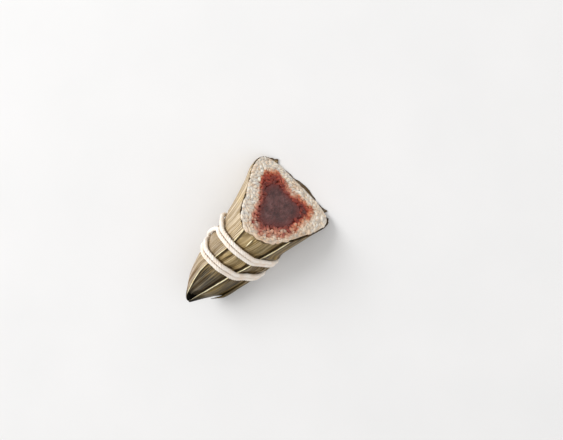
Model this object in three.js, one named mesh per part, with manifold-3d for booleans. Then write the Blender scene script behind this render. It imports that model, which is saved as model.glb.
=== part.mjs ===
// Half of a pillow-shaped zongzi (a rice dumpling), cut obliquely: sticky rice round a bean-paste
// core, three bamboo leaves folded to a point at one end, and one cotton string wound round it twice
// in two places. Millimetres, +Z up.
//
// The dumpling lies on its flat underside. Every surface is one function of three things:
//   q      the distance from the folded point, along the dumpling
//   angle  round its section: 0 on the left (+Y) side, 90 degrees on top, 270 underneath
//   depth  how far inside the outermost leaf
import * as THREE from "three";
import { mergeVertices } from "three/addons/utils/BufferGeometryUtils.js";
import Module from "manifold-3d";

const wasm = await Module();
wasm.setup();

// ---- Driving dimensions -------------------------------------------------------------------------

const CUT_BOTTOM = 90.5; // from the point to the cut's lower edge
const CUT_LEAN = 0.745; // how far the cut leans back towards the point for each millimetre of height
const ORIGIN_Q = 57; // the origin is on the flat underside, this far from the point

const LEAF = 0.5; // thickness of a leaf
const LAYER = 0.8; // from one leaf's outside to the next one's
const PACKING = 0.8; // room for one more layer on the right-hand side, and for one less on the left
const RIM_BACK = 1.0; // the leaves end this far behind the rice's cut face
const RIM_GAP = 0.3; // clearance between a leaf's end and the grains that hang over it

const STRING_R = 1.3;
const STRING_GAP = 0.45; // clearance between the string and the leaves
const ROW_PITCH = 2.9; // between two turns that lie side by side
const STRING_START = 0.1; // in turns, from the middle of the underside
const STRING_END = 3.9;
const CROSSING = { start: 1.7, end: 1.83 }; // where it passes from the upper pair to the lower one
const STRING_STEPS = 150;
const UPPER_Q = 46.3; // middle of the pair of turns near the cut
const LOWER_Q = 31.0; // middle of the pair near the point
const FURROW_TOP = 1.0; // how deep the string presses into the leaves on top and at the sides
const FURROW_UNDER = 2 * STRING_R + STRING_GAP + 0.2; // and underneath, where it disappears
const FURROW_FLAT = 3.3; // half the width of a furrow's floor
const FURROW_EDGE = 4.9; // half its width at the rim

const PASTE_R = 11.6; // mean radius of the bean paste at the cut
const PASTE_CORNERS = 0.22; // the share by which its three corners stand out
const PASTE_SHOULDER = { by: 4.2, angle: 152, width: 26 }; // and how much fuller its right side is
const PASTE_CENTRE = { y: 1.4, z: 18.9 };
const PASTE_START = 26; // the paste begins this far from the point
const PASTE_GAP = 0.3;
const PASTE_SIDES = 20;

const GRAIN = { length: 5.6, width: 2.7 }; // a cooked grain of rice
const GRAIN_PITCH = 3.45; // from one grain's middle to the next one's, at least
const GRAIN_FROM_LEAF = 0.7; // and to the leaf round the rice
const OVERHANG = { low: 24, high: 32, by: 0.4 }; // further up a grain's middle may lie over the leaf
const GRAIN_FROM_PASTE = 1.2; // and to the paste
const GRAIN_SEED = 11;

// The section at several distances from the point. ridge and keel move its top and underside towards
// the left, square is its exponent (2 an ellipse, 4 nearly a box) and taper narrows it upwards.
const STATIONS = {
  q: [0, 3, 6.5, 12, 26, 42, 56, 70, 80, 94],
  halfWidth: [0.9, 2.9, 5.1, 9.4, 14.3, 17.3, 18.4, 21.3, 23.7, 24.9],
  top: [24.5, 25.6, 26.9, 28.8, 33.0, 37.4, 40.4, 42.2, 42.8, 43.0],
  bottom: [20.5, 12.5, 2.0, -0.6, -0.6, -0.6, -0.6, -0.6, -0.6, -0.6],
  ridge: [0, 2.4, 3.8, 4.8, 5.2, 3.6, 1.0, 0.4, 0.6, -0.6],
  keel: [-1.6, -4.0, -7.4, -7.8, -5.3, -2.2, 0, 1.2, 2.0, -1.4],
  square: [1.8, 1.8, 1.9, 2.1, 2.4, 2.8, 3.4, 3.3, 3.4, 3.7],
  taper: [0.0, 0.05, 0.12, 0.2, 0.3, 0.33, 0.31, 0.33, 0.37, 0.38],
};

// The rings run along the string: low on the right-hand side they sweep away from the point, most
// at this angle.
const SWEEP = {
  angle: 235,
  q: [0, 14, LOWER_Q, UPPER_Q, 62, 94],
  reach: [0, 2.4, 8.5, 3.5, 0, 0],
};

// Where the left and the right leaf's edges run over the top, by their y.
const SEAM = {
  q: [0, 3, 9, 14, 22, 36, 46, 60, 94],
  left: [0.3, 2.6, 4.6, 5.9, 7.0, 6.0, 5.0, 5.6, 6.0],
  right: [-0.3, -1.6, -3.2, -4.4, -6.3, -9.6, -12.0, -15.5, -23.0],
};
const UNDER_GAP = 12; // degrees between those leaves' edges underneath, near the point
const TIP_GAP = 0.4; // millimetres between the two leaves inside the point itself

const PLEAT = { depth: 0.35, around: 7, along: 0.09 }; // low waves in all the leaves

const SEGMENTS = 32; // round every section
const THINNEST = 0.2; // no section is thinner than twice this
const INNER_START = 3.5; // the inner leaf begins this far from the point
const RICE_START = 12; // and the rice here
const FOLD_START = 16; // and the layer between the inner and the right leaf here

// The ragged leaf end: the angles it lies between, how far it stands off the right leaf at its
// loose edge, and its outline from above.
const FLAP = {
  from: 188,
  to: 232,
  flare: 1.2,
  outline: [
    [8.0, -9.0],
    [7.0, -10.6],
    [9.2, -12.0],
    [8.4, -14.0],
    [11.5, -15.4],
    [12.0, -20.0],
    [40.0, -26.0],
    [42.5, -20.0],
    [39.5, -15.0],
    [41.0, -9.0],
  ],
};

// ---- Small helpers ------------------------------------------------------------------------------

const clamp = THREE.MathUtils.clamp;
const lerp = THREE.MathUtils.lerp;
const radians = THREE.MathUtils.degToRad;
const smooth = THREE.MathUtils.smoothstep; // (value, low, high)

// The value at q of a smooth curve through values at the knots.
function along(knots, values, q) {
  const last = knots.length - 1;
  const at = clamp(q, knots[0], knots[last]);
  let i = 0;
  while (i < last - 1 && at > knots[i + 1]) i++;
  const slope = (k) => {
    const lo = Math.max(0, k - 1);
    const hi = Math.min(last, k + 1);
    return (values[hi] - values[lo]) / (knots[hi] - knots[lo]);
  };
  const h = knots[i + 1] - knots[i];
  const t = (at - knots[i]) / h;
  const [t2, t3] = [t * t, t * t * t];
  return (
    (2 * t3 - 3 * t2 + 1) * values[i] +
    (t3 - 2 * t2 + t) * h * slope(i) +
    (3 * t2 - 2 * t3) * values[i + 1] +
    (t3 - t2) * h * slope(i + 1)
  );
}

const degreesRound = (angle) =>
  THREE.MathUtils.radToDeg(THREE.MathUtils.euclideanModulo(angle, 2 * Math.PI));

const power = (value, exponent) => Math.sign(value) * Math.abs(value) ** exponent;

// Deterministic random numbers from 0 to 1.
function randomFrom(seed) {
  let state = seed;
  return () => {
    state = (state * 1664525 + 1013904223) % 4294967296;
    return state / 4294967296;
  };
}

// ---- The dumpling's surface -----------------------------------------------------------------------

// How deep the string's furrow is.
function furrow(q, angle) {
  const under = smooth(-Math.sin(angle), 0.35, 0.9);
  const deep = lerp(FURROW_TOP, FURROW_UNDER, under);
  const near = (middle) => 1 - smooth(Math.abs(q - middle), FURROW_FLAT, FURROW_EDGE);
  return deep * Math.max(near(UPPER_Q), near(LOWER_Q));
}

// Low waves along the leaves, which the flat underside has not.
function pleat(q, angle) {
  const above = smooth(Math.sin(angle), -0.5, 0.1);
  return PLEAT.depth * above * Math.cos(PLEAT.around * angle + PLEAT.along * q);
}

// A point of the surface at that depth.
function surface(q, angle, depth) {
  const station = (name) => along(STATIONS.q, STATIONS[name], q);
  const sunk = depth + furrow(q, angle) + pleat(q, angle);
  const exponent = 2 / station("square");
  const across = power(Math.cos(angle), exponent);
  const up = power(Math.sin(angle), exponent);
  const middle = (station("top") + station("bottom")) / 2;
  const high = Math.max((station("top") - station("bottom")) / 2 - sunk, THINNEST);
  const half = Math.max(station("halfWidth") - sunk, THINNEST);
  const y =
    half * across * (1 - station("taper") * up) +
    station("ridge") * ((1 + up) / 2) ** 1.5 +
    station("keel") * ((1 - up) / 2) ** 1.5;
  const z = Math.max(middle + high * up, sunk);
  const swept = Math.max(Math.cos(angle - radians(SWEEP.angle)), 0) ** 2;
  return new THREE.Vector3(q + along(SWEEP.q, SWEEP.reach, q) * swept, y, z);
}

// The angle at which the surface has that y, on top, at a depth.
function angleOnTop(q, y, depth) {
  let [low, high] = [0.02, Math.PI - 0.02];
  for (let i = 0; i < 30; i++) {
    const middle = (low + high) / 2;
    if (surface(q, middle, depth).y > y) low = middle;
    else high = middle;
  }
  return (low + high) / 2;
}

// ---- Solids -----------------------------------------------------------------------------------------

function solidFrom(geometry) {
  const bare = geometry.index ? geometry.toNonIndexed() : geometry.clone();
  bare.deleteAttribute("normal");
  bare.deleteAttribute("uv");
  const merged = mergeVertices(bare, 1e-4);
  const triangles = Array.from({ length: merged.index.count / 3 }, (_, i) =>
    merged.index.array.slice(3 * i, 3 * i + 3),
  ).filter(([a, b, c]) => a !== b && b !== c && c !== a);
  return new wasm.Manifold(
    new wasm.Mesh({
      numProp: 3,
      vertProperties: merged.attributes.position.array,
      triVerts: new Uint32Array(triangles.flatMap((triangle) => [...triangle])),
    }),
  );
}

function geometryFrom(solid) {
  const mesh = solid.getMesh();
  const positions = new Float32Array(mesh.numVert * 3);
  for (let i = 0; i < mesh.numVert; i++) {
    positions.set(mesh.vertProperties.subarray(i * mesh.numProp, i * mesh.numProp + 3), 3 * i);
  }
  const geometry = new THREE.BufferGeometry();
  geometry.setAttribute("position", new THREE.BufferAttribute(positions, 3));
  geometry.setIndex(new THREE.BufferAttribute(mesh.triVerts, 1));
  geometry.computeVertexNormals();
  return geometry;
}

const centroid = (ring) =>
  ring.reduce((sum, p) => sum.add(p), new THREE.Vector3()).divideScalar(ring.length);

// A closed solid between rings of points that all have the same count, with a fan over each end
// from the point that hub gives.
function loft(rings, hub = centroid) {
  const count = rings[0].length;
  const points = [...rings.flat(), hub(rings[0]), hub(rings.at(-1))];
  const first = rings.length * count;
  const index = [];
  for (let i = 0; i < rings.length - 1; i++) {
    for (let j = 0; j < count; j++) {
      const [a, b] = [i * count + j, i * count + ((j + 1) % count)];
      index.push(a, b, a + count, b, b + count, a + count);
    }
  }
  for (let j = 0; j < count; j++) {
    const next = (j + 1) % count;
    index.push(first, next, j);
    index.push(first + 1, first - count + j, first - count + next);
  }
  const geometry = new THREE.BufferGeometry().setFromPoints(points);
  geometry.setIndex(index);
  const solid = solidFrom(geometry);
  return solid.volume() < 0 ? solidFrom(flipped(geometry)) : solid;
}

function flipped(geometry) {
  const index = Array.from(geometry.index.array);
  for (let i = 0; i < index.length; i += 3) [index[i], index[i + 1]] = [index[i + 1], index[i]];
  const turned = geometry.clone();
  turned.setIndex(index);
  return turned;
}

const ringAngles = Array.from({ length: SEGMENTS }, (_, j) => (j / SEGMENTS) * 2 * Math.PI);

// A solid without its loose scraps.
const largest = (solid) => solid.decompose().reduce((a, b) => (a.volume() > b.volume() ? a : b));

// The cross-section rings of the whole dumpling. depthAt gives the depth from q and angle.
function ringsAt(stations, depthAt) {
  return stations.map((q) => ringAngles.map((angle) => surface(q, angle, depthAt(q, angle))));
}

// A leaf all the way round. Its inside begins at insideStart: past its first ring to shut its end,
// before it to leave that open.
function shell(stations, depthAt, insideStart) {
  const [, ...rest] = stations;
  const inside = ringsAt([insideStart, ...rest], (q, angle) => depthAt(q, angle) + LEAF);
  return loft(ringsAt(stations, depthAt)).subtract(loft(inside));
}

// The part of space between two angles, outwards from the middle of each section. shift moves the
// middle to the left.
function sector(edges, shift = 0) {
  const rings = [-3, ...stationsFrom(0), 100].map((q) => {
    const [from, to] = edges(q);
    const middle = surface(q, 0, 0).add(surface(q, Math.PI, 0)).multiplyScalar(0.5);
    middle.y += shift;
    const far = Array.from({ length: SEGMENTS }, (_, j) => {
      const angle = lerp(from, to, j / (SEGMENTS - 1));
      const out = surface(q, angle, 0).sub(middle);
      return out.multiplyScalar(1 + 5 / Math.max(out.length(), 0.5)).add(middle);
    });
    return [middle, ...far];
  });
  return loft(rings, (ring) => ring[0]);
}

// Everything beyond the cut, moved back towards the point by that much.
function beyondCut(back) {
  const size = 240;
  const box = new THREE.BoxGeometry(size, size, size);
  box.translate(size / 2, 0, 0);
  box.rotateY(-Math.atan(CUT_LEAN));
  box.translate(CUT_BOTTOM - back, 0, 0);
  return solidFrom(box);
}

// Rings close together where the string presses in, and further apart between.
function stationsFrom(start) {
  const dense = [UPPER_Q, LOWER_Q].flatMap((middle) =>
    [-FURROW_EDGE, -FURROW_FLAT, FURROW_FLAT, FURROW_EDGE].map((step) => middle + step),
  );
  const rest = [0, 3, 6.5, 12, 19, 57, 67, 80, 94];
  return [...dense, ...rest.filter((q) => q > start), start].sort((a, b) => a - b);
}

// ---- The leaves -------------------------------------------------------------------------------------

// The right leaf is level with the left one at the point, and one layer under it further on.
const rightLeafDepth = (q) => LAYER * smooth(q, 1.5, 8);

// Underneath, the two outer leaves meet at the point and overlap further on.
const overlap = (q) => smooth(q, 14, 22);

function leftLeafEdges(q) {
  const under = -90 - 24 * overlap(q);
  return [radians(under), angleOnTop(q, along(SEAM.q, SEAM.left, q), 0)];
}

function rightLeafEdges(q) {
  const gap = lerp(UNDER_GAP, 0, overlap(q));
  const under = 270 - gap + 16 * overlap(q);
  const top = angleOnTop(q, along(SEAM.q, SEAM.right, q), rightLeafDepth(q));
  return [top, radians(under)];
}

function leafLeft() {
  return shell(stationsFrom(0), () => 0, LEAF).intersect(sector(leftLeafEdges, TIP_GAP / 2));
}

function leafRight() {
  return shell(stationsFrom(0), rightLeafDepth, LEAF).intersect(sector(rightLeafEdges, -TIP_GAP / 2));
}

// Two more layers lie under the outer leaves on the right-hand side, none on the left, and one
// elsewhere. This is how much deeper or less deep that sets the inner leaf.
function packed(angle) {
  const turned = degreesRound(angle);
  const right = smooth(turned, 116, 138) * (1 - smooth(turned, 246, 268));
  const left = 1 - smooth(Math.min(turned, 360 - turned), 40, 66);
  return PACKING * (right - left);
}

const innerDepth = (q, angle) => 2 * LAYER + packed(angle);
const riceDepth = (q, angle) => 3 * LAYER + packed(angle);

function leafInner() {
  const inside = ringsAt(stationsFrom(RICE_START - LEAF), (q, angle) => innerDepth(q, angle) + LEAF);
  return loft(ringsAt(stationsFrom(INNER_START), innerDepth)).subtract(loft(inside));
}

function leafFold() {
  const edges = (q) => [rightLeafEdges(q)[0] + radians(5), radians(245)];
  return shell(stationsFrom(FOLD_START), () => 2 * LAYER, FOLD_START - 1).intersect(sector(edges));
}

// A leaf's ragged end, turned back along the foot of the right-hand side.
function leafFlap() {
  const edges = () => [radians(FLAP.from), radians(FLAP.to)];
  const outline = new THREE.Shape(FLAP.outline.map(([x, y]) => new THREE.Vector2(x, y)));
  const cutter = new THREE.ExtrudeGeometry(outline, { depth: 40, bevelEnabled: false });
  const flared = (q) => FLAP.flare * (smooth(q, 8, 20) - 1);
  const around = shell(stationsFrom(0), flared, -1);
  return around.intersect(sector(edges)).intersect(solidFrom(cutter));
}

// ---- The rice and the paste -------------------------------------------------------------------------

// The radius of the paste's section: a rounded triangle, one corner up, with a shoulder. angle is
// from 0 to a whole turn.
function pasteRadius(angle) {
  const off = (angle - radians(PASTE_SHOULDER.angle)) / radians(PASTE_SHOULDER.width);
  const corners = 1 + PASTE_CORNERS * Math.cos(3 * (angle - Math.PI / 2));
  return PASTE_R * corners + PASTE_SHOULDER.by * Math.exp(-off * off);
}

function pasteRing(q, grow) {
  const size = lerp(0.35, 1, smooth(q, PASTE_START, PASTE_START + 30));
  const lift = lerp(-3, 0, smooth(q, PASTE_START, PASTE_START + 40));
  return Array.from({ length: PASTE_SIDES }, (_, j) => {
    const angle = (j / PASTE_SIDES) * 2 * Math.PI;
    const r = pasteRadius(angle) * size + grow;
    return new THREE.Vector3(
      q,
      PASTE_CENTRE.y + r * Math.cos(angle),
      PASTE_CENTRE.z + lift + r * Math.sin(angle),
    );
  });
}

function paste(grow) {
  const stations = [PASTE_START - grow, 32, 38, 46, 56, 96];
  return loft(stations.map((q) => pasteRing(q, grow)));
}

// A point of the cut face, from how far along it lies in y and z.
const onCut = (y, z) => new THREE.Vector3(CUT_BOTTOM - CUT_LEAN * z, y, z);

// The outline, in the cut's plane, of the surface at a depth: a list of [y, z].
function cutOutline(depthAt) {
  return ringAngles.map((angle) => {
    let [low, high] = [CUT_BOTTOM / 2, CUT_BOTTOM + 2];
    for (let i = 0; i < 24; i++) {
      const q = (low + high) / 2;
      const at = surface(q, angle, depthAt(q, angle));
      if (at.x < onCut(at.y, at.z).x) low = q;
      else high = q;
    }
    const at = surface(low, angle, depthAt(low, angle));
    return [at.y, at.z];
  });
}

// How far [y, z] lies inside a closed outline; less than nothing outside.
function insideBy(outline, [y, z]) {
  let nearest = Infinity;
  let inside = false;
  outline.forEach(([y0, z0], i) => {
    const [y1, z1] = outline[(i + 1) % outline.length];
    const [dy, dz] = [y1 - y0, z1 - z0];
    const t = clamp(((y - y0) * dy + (z - z0) * dz) / (dy * dy + dz * dz), 0, 1);
    nearest = Math.min(nearest, Math.hypot(y - y0 - t * dy, z - z0 - t * dz));
    if (z0 > z !== z1 > z && y < y0 + ((z - z0) / dz) * dy) inside = !inside;
  });
  return inside ? nearest : -nearest;
}

// Grains spread evenly over the rice at the cut, each turned its own way.
function grains() {
  const random = randomFrom(GRAIN_SEED);
  const rim = cutOutline(riceDepth);
  const core = pasteRing(CUT_BOTTOM - CUT_LEAN * PASTE_CENTRE.z, 0).map((p) => [p.y, p.z]);
  const placed = [];
  for (let tries = 0; tries < 9000; tries++) {
    const [y, z] = [lerp(-27, 30, random()), lerp(0, 44, random())];
    const fromLeaf = lerp(GRAIN_FROM_LEAF, -OVERHANG.by, smooth(z, OVERHANG.low, OVERHANG.high));
    if (insideBy(rim, [y, z]) < fromLeaf) continue;
    if (insideBy(core, [y, z]) > -GRAIN_FROM_PASTE) continue;
    const at = onCut(y, z);
    if (placed.every((other) => other.distanceTo(at) > GRAIN_PITCH)) placed.push(at);
  }
  return placed.map((at) => {
    const grain = new THREE.SphereGeometry(1, 6, 4);
    const stretch = lerp(0.85, 1.1, random());
    grain.scale(GRAIN.width / 2, (GRAIN.length / 2) * stretch, GRAIN.width / 2);
    grain.rotateX(lerp(-0.4, 0.4, random()));
    grain.rotateZ(random() * Math.PI);
    grain.rotateY(Math.PI / 2 - Math.atan(CUT_LEAN));
    grain.translate(at.x, at.y, at.z);
    return solidFrom(grain);
  });
}

function rice() {
  const body = loft(ringsAt(stationsFrom(RICE_START), riceDepth));
  const core = body.subtract(beyondCut(0)).subtract(paste(PASTE_GAP));
  const allowed = body.add(beyondCut(RIM_BACK - RIM_GAP)).subtract(paste(PASTE_GAP));
  const bumps = wasm.Manifold.union(grains()).intersect(allowed);
  return largest(core.add(bumps));
}

// ---- The string --------------------------------------------------------------------------------------

const ROWS = [UPPER_Q + ROW_PITCH / 2, UPPER_Q - ROW_PITCH / 2]
  .concat([LOWER_Q + ROW_PITCH / 2, LOWER_Q - ROW_PITCH / 2]);

// The string's distance from the point. turn counts whole turns, from 0 underneath. It steps over to
// the next row underneath, and crosses from the upper pair to the lower one down the left side.
function rowAt(turn) {
  const under = 0.09; // the share of a turn in which it steps over underneath, on each side
  const first = smooth(turn, 1 - under, 1 + under);
  const cross = smooth(turn, CROSSING.start, CROSSING.end);
  const last = smooth(turn, 3 - under, 3 + under);
  return [first, cross, last].reduce((q, share, i) => q + share * (ROWS[i + 1] - ROWS[i]), ROWS[0]);
}

// How far below the left leaf's level the string lies: one layer where it crosses the bare right leaf.
function layerUnder(q, angle) {
  const turned = degreesRound(angle);
  const between = (from, to) => smooth(turned, from, from + 12) * (1 - smooth(turned, to - 12, to));
  const leftEdge = degreesRound(leftLeafEdges(q)[1]);
  const flap = q < UPPER_Q - FURROW_EDGE ? between(FLAP.from - 14, FLAP.to + 14) : 0;
  return rightLeafDepth(q) * between(leftEdge, 246) * (1 - flap);
}

// The depth of the string's middle: clear of the highest leaf within its own width.
function stringDepth(q, angle) {
  const reach = 1.6 * STRING_R;
  const around = Math.min(furrow(q - reach, angle), furrow(q + reach, angle));
  const rise = Math.max(furrow(q, angle) - around, 0);
  return layerUnder(q, angle) - rise - STRING_R - STRING_GAP;
}

function stringPoints() {
  return Array.from({ length: STRING_STEPS + 1 }, (_, i) => {
    const turn = lerp(STRING_START, STRING_END, i / STRING_STEPS);
    const angle = radians(270 - 360 * turn);
    const q = rowAt(turn);
    return surface(q, angle, stringDepth(q, angle));
  });
}

function string() {
  const path = new THREE.CatmullRomCurve3(stringPoints());
  const section = new THREE.Shape().absarc(0, 0, STRING_R, 0, 2 * Math.PI);
  const tube = new THREE.ExtrudeGeometry(section, {
    steps: STRING_STEPS,
    curveSegments: 4,
    bevelEnabled: false,
    extrudePath: path,
  });
  return solidFrom(tube);
}

// ---- The dumpling ------------------------------------------------------------------------------------

const materials = {
  leafLight: new THREE.MeshStandardMaterial({ color: 0xb9a67a, roughness: 0.6 }),
  leafDark: new THREE.MeshStandardMaterial({ color: 0x77683f, roughness: 0.55 }),
  rice: new THREE.MeshStandardMaterial({ color: 0xe6dccb, roughness: 0.45 }),
  paste: new THREE.MeshStandardMaterial({ color: 0x5c3f3d, roughness: 0.5 }),
  string: new THREE.MeshStandardMaterial({ color: 0xeee3d6, roughness: 0.9 }),
};

const dumpling = new THREE.Group();
dumpling.position.x = -ORIGIN_Q;

function place(name, solid, material) {
  const mesh = new THREE.Mesh(geometryFrom(solid), material);
  mesh.name = name;
  dumpling.add(mesh);
}

const trimmed = (leaf, back) => leaf.subtract(beyondCut(back));

place("rice", rice(), materials.rice);
place("bean_paste", paste(0).subtract(beyondCut(0.4)), materials.paste);
place("leaf_inner", trimmed(leafInner(), RIM_BACK + 0.4), materials.leafDark);
place("leaf_fold", trimmed(leafFold(), RIM_BACK + 0.2), materials.leafDark);
place("leaf_right", trimmed(leafRight(), RIM_BACK), materials.leafDark);
place("leaf_left", trimmed(leafLeft(), RIM_BACK), materials.leafLight);
place("leaf_flap", leafFlap(), materials.leafDark);
place("string", string(), materials.string);

export default dumpling;
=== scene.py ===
"""Looks for the cut zongzi: its leaves, rice, bean paste and string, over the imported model.

Shapes are worked out in millimetres with the same surface as the part's source, and turned into
metres where a mesh is made. q is the distance from the folded point, angle runs round the section
(0 on the left, 90 degrees on top, 270 underneath) and depth is how far inside the outermost leaf.
"""

import bmesh
import bpy
import numpy as np
from mathutils import Matrix, Vector


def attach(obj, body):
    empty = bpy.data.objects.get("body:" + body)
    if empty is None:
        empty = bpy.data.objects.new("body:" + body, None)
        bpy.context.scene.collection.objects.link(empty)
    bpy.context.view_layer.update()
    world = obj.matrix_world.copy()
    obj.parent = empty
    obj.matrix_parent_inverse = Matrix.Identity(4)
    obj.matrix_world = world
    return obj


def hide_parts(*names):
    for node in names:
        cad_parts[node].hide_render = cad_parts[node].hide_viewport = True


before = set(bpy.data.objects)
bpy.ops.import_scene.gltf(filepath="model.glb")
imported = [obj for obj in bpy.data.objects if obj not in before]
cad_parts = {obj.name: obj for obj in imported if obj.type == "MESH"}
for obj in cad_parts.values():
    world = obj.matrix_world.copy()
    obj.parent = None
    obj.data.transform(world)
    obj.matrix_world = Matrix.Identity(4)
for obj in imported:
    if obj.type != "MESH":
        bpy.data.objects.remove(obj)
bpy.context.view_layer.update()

MM = 0.001  # in metres


def add_object(name, data):
    thing = bpy.data.objects.new(name, data)
    bpy.context.scene.collection.objects.link(thing)
    return thing


# ---- Camera

PICTURE = (563, 440)  # pixels
LENS = 85
SENSOR = 36
VIEW_TILT = np.radians(14)  # from straight down, towards the folded point
VIEW_TURN = np.radians(45)  # of the dumpling in the picture
FOLDED_POINT = Vector((-57, 0, 24))  # where it is, in millimetres
POINT_PIXEL = (187, 301)  # and in the picture
VIEW_DISTANCE = 760  # to it, along the camera's axis
CAMERA_REACH = 10  # metres


def make_camera():
    along_cut = Vector((np.cos(VIEW_TILT), 0, -np.sin(VIEW_TILT)))
    across_cut = Vector((0, -1, 0))
    right = along_cut * np.cos(VIEW_TURN) + across_cut * np.sin(VIEW_TURN)
    up = along_cut * np.sin(VIEW_TURN) - across_cut * np.cos(VIEW_TURN)
    back = right.cross(up)
    pixels = PICTURE[0] * LENS / SENSOR
    off_right = (POINT_PIXEL[0] - PICTURE[0] / 2) / pixels * VIEW_DISTANCE
    off_up = (PICTURE[1] / 2 - POINT_PIXEL[1]) / pixels * VIEW_DISTANCE
    place = FOLDED_POINT + back * VIEW_DISTANCE - right * off_right - up * off_up
    data = bpy.data.cameras.new("camera")
    data.lens = LENS
    data.sensor_width = SENSOR
    data.clip_end = CAMERA_REACH
    camera = add_object("camera", data)
    turn = Matrix((right, up, back)).transposed().to_4x4()
    camera.matrix_world = Matrix.Translation(place * MM) @ turn
    bpy.context.scene.camera = camera


# ---- The dumpling's dimensions, as in the part's source, which explains them

CUT_BOTTOM = 90.5
CUT_LEAN = 0.745
ORIGIN_Q = 57  # the origin is this far from the point

LEAF = 0.45  # thickness of a leaf, a little less than in the source
LAYER = 0.8
PACKING = 0.8
RIM_BACK = 1.0

STRING_R = 1.3
STRING_GAP = 0.45
ROW_PITCH = 2.9
STRING_START = 0.1  # in turns, from the middle of the underside
STRING_END = 3.9
CROSSING = (1.685, 1.79)  # from the upper pair to the lower one, a little steeper than in the source
UPPER_Q = 46.3
LOWER_Q = 31.0
FURROW_TOP = 1.0
FURROW_UNDER = 2 * STRING_R + STRING_GAP + 0.2
FURROW_FLAT = 3.3
FURROW_EDGE = 4.9

PASTE_R = 11.6  # mean radius of the bean paste at the cut
PASTE_CORNERS = 0.22
PASTE_SHOULDER = (4.2, 152, 26)  # its height, then its middle and width in degrees
PASTE_Y, PASTE_Z = 1.4, 18.9  # its middle at the cut
PASTE_START = 26
PASTE_THIN = 0.35  # the share of its full size that it begins with
PASTE_LOW = -3  # and how much lower it lies there

STATION_Q = [0, 3, 6.5, 12, 26, 42, 56, 70, 80, 94]
STATIONS = {
    "half_width": [0.9, 2.9, 5.1, 9.4, 14.3, 17.3, 18.4, 21.3, 23.7, 24.9],
    "top": [24.5, 25.6, 26.9, 28.8, 33.0, 37.4, 40.4, 42.2, 42.8, 43.0],
    "bottom": [20.5, 12.5, 2.0, -0.6, -0.6, -0.6, -0.6, -0.6, -0.6, -0.6],
    "ridge": [0, 2.4, 3.8, 4.8, 5.2, 3.6, 1.0, 0.4, 0.6, -0.6],
    "keel": [-1.6, -4.0, -7.4, -7.8, -5.3, -2.2, 0, 1.2, 2.0, -1.4],
    "square": [1.8, 1.8, 1.9, 2.1, 2.4, 2.8, 3.4, 3.3, 3.4, 3.7],
    "taper": [0.0, 0.05, 0.12, 0.2, 0.3, 0.33, 0.31, 0.33, 0.37, 0.38],
}

SWEEP_ANGLE = np.radians(235)
SWEEP_Q = [0, 14, LOWER_Q, UPPER_Q, 62, 94]
SWEEP_REACH = [0, 2.4, 8.5, 3.5, 0, 0]
SEAM_Q = [0, 3, 9, 14, 22, 36, 46, 60, 94]
SEAM_LEFT = [0.3, 2.6, 4.6, 5.9, 7.0, 6.0, 5.0, 5.6, 6.0]
SEAM_RIGHT = [-0.3, -1.6, -3.2, -4.4, -6.3, -9.6, -12.0, -15.5, -23.0]
UNDER_GAP = 12
OVERLAP_Q = (14, 22)  # between these the gap closes and they come to overlap
LEFT_LAP = 24  # degrees by which the left leaf then reaches past the middle of the underside
RIGHT_LAP = 16  # and the right leaf

PLEAT_DEPTH = 0.35
PLEAT_AROUND = 7
PLEAT_ALONG = 0.09
THINNEST = 0.2
INNER_START = 3.5
RICE_START = 12
FOLD_START = 16
FOLD_IN = 5  # degrees from the right leaf's edge on top to that layer's edge
FOLD_TO = 245  # degrees

# Finer than in the source.
FURROW_SOFT = 1.8  # how much wider the leaf's bend into the furrow is at the sides and on top
FURROW_NARROWER = 0.4  # and how much narrower its floor is there, as a share of that
RIM_COVERED = 2.0  # the leaves end this far behind the cut where rice spreads over them
ROUND_R = 24  # of a round section about as wide as the dumpling

# How far the rice spreads over the inner leaves' ends at the cut, by the angle in degrees, and how
# unevenly it does so on top.
LIP_ANGLE = [0, 38, 52, 66, 78, 95, 122, 140, 250, 315, 345, 360]
LIP_OVER = [0.6, 0.6, 1.9, 2.4, 2.2, 1.7, 1.5, 1.6, 1.6, 1.6, 0.6, 0.6]
LIP_UNEVEN = 0.6
LIP_LUMP = 4.2

# ---- Small helpers

NOISE_CELLS = 24  # the noise repeats after this many lumps
SEAM_STEPS = 30  # of bisection, to find a leaf's edge
END_STEPS = 26  # and its end


def smooth(value, low, high):
    """0 up to low, 1 from high on, and an even curve between them."""
    t = np.clip((value - low) / (high - low), 0, 1)
    return t * t * (3 - 2 * t)


def lerp(a, b, share):
    return a + (b - a) * share


def along(knots, values, q):
    """The value at q of a smooth curve through values at the knots."""
    knots, values = np.asarray(knots, float), np.asarray(values, float)
    padded_k = np.concatenate([knots[:1], knots, knots[-1:]])
    padded_v = np.concatenate([values[:1], values, values[-1:]])
    slope = (padded_v[2:] - padded_v[:-2]) / (padded_k[2:] - padded_k[:-2])
    at = np.clip(q, knots[0], knots[-1])
    i = np.clip(np.searchsorted(knots, at) - 1, 0, len(knots) - 2)
    h = knots[i + 1] - knots[i]
    t = (at - knots[i]) / h
    return (
        (2 * t**3 - 3 * t**2 + 1) * values[i]
        + (t**3 - 2 * t**2 + t) * h * slope[i]
        + (3 * t**2 - 2 * t**3) * values[i + 1]
        + (t**3 - t**2) * h * slope[i + 1]
    )


def bisected(low, high, steps, is_low):
    """Where is_low turns false between low and high, for each of a row of places."""
    for _ in range(steps):
        middle = (low + high) / 2
        below = is_low(middle)
        low, high = np.where(below, middle, low), np.where(below, high, middle)
    return (low + high) / 2


def vectors(x, y, z):
    """Points or vectors from their three parts."""
    return np.stack(np.broadcast_arrays(x, y, z), -1)


def angles_round(count):
    return np.linspace(0, 2 * np.pi, count, endpoint=False)


def unit(vectors):
    return vectors / np.linalg.norm(vectors, axis=1, keepdims=True)


def power(value, exponent):
    return np.sign(value) * np.abs(value) ** exponent


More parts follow.
